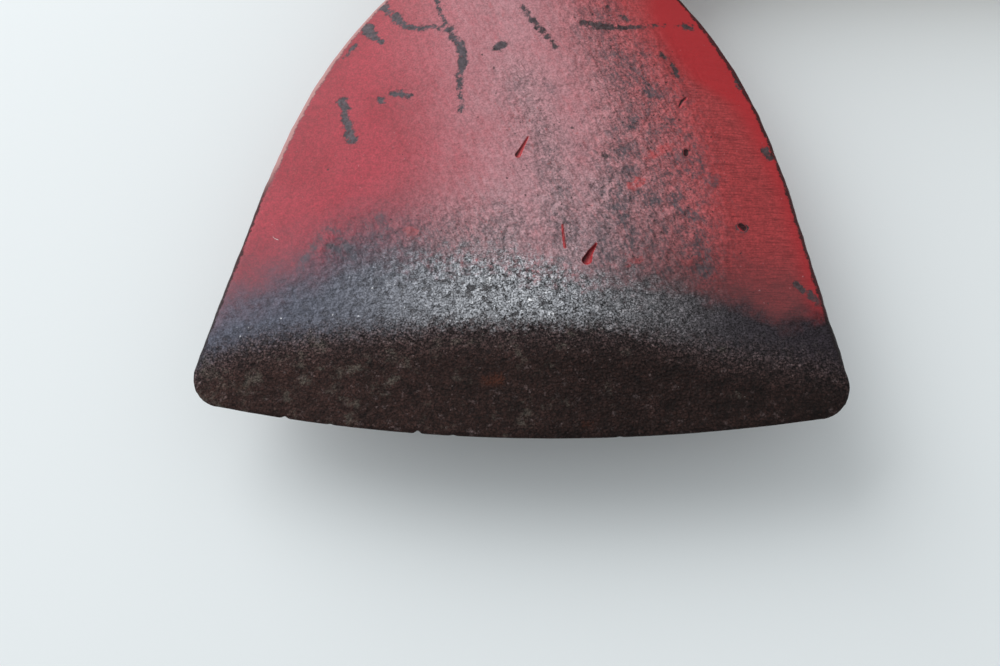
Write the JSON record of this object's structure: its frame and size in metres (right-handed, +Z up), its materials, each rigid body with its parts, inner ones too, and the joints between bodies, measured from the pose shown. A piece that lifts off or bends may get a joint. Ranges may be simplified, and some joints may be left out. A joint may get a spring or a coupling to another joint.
{
  "type": "fire axe",
  "caption": "Hand fire axe with a bell-shaped blade and a pick on one forged head, a wooden haft with riveted steel side straps, and wedges that hold the haft in the eye.",
  "frame": {"origin": "middle of the eye's lower side face, on the surface that the axe lies on", "axes": "+X down the haft to the butt, -Y to the cutting edge, +Y to the pick, +Z up, square to the cheek"},
  "size_m": [0.4224, 0.273, 0.034],
  "materials": {
    "red_paint": "worn red paint over forged steel, bare and browned at the bit",
    "ash_wood": "oiled ash, hand worn",
    "strap_steel": "dark scaled steel with rubbed edges",
    "rivet_steel": "hammered steel",
    "wedge_wood": "dark end grain",
    "wedge_steel": "hammered steel"
  },
  "bodies": {
    "root": {"axe_head": "red_paint", "haft": "ash_wood", "upper_strap": "strap_steel", "lower_strap": "strap_steel", "strap_rivet_1": "rivet_steel", "strap_rivet_2": "rivet_steel", "strap_rivet_3": "rivet_steel", "strap_rivet_4": "rivet_steel", "wooden_wedge": "wedge_wood", "steel_wedge_front": "wedge_steel", "steel_wedge_back": "wedge_steel"}
  },
  "joints": []
}
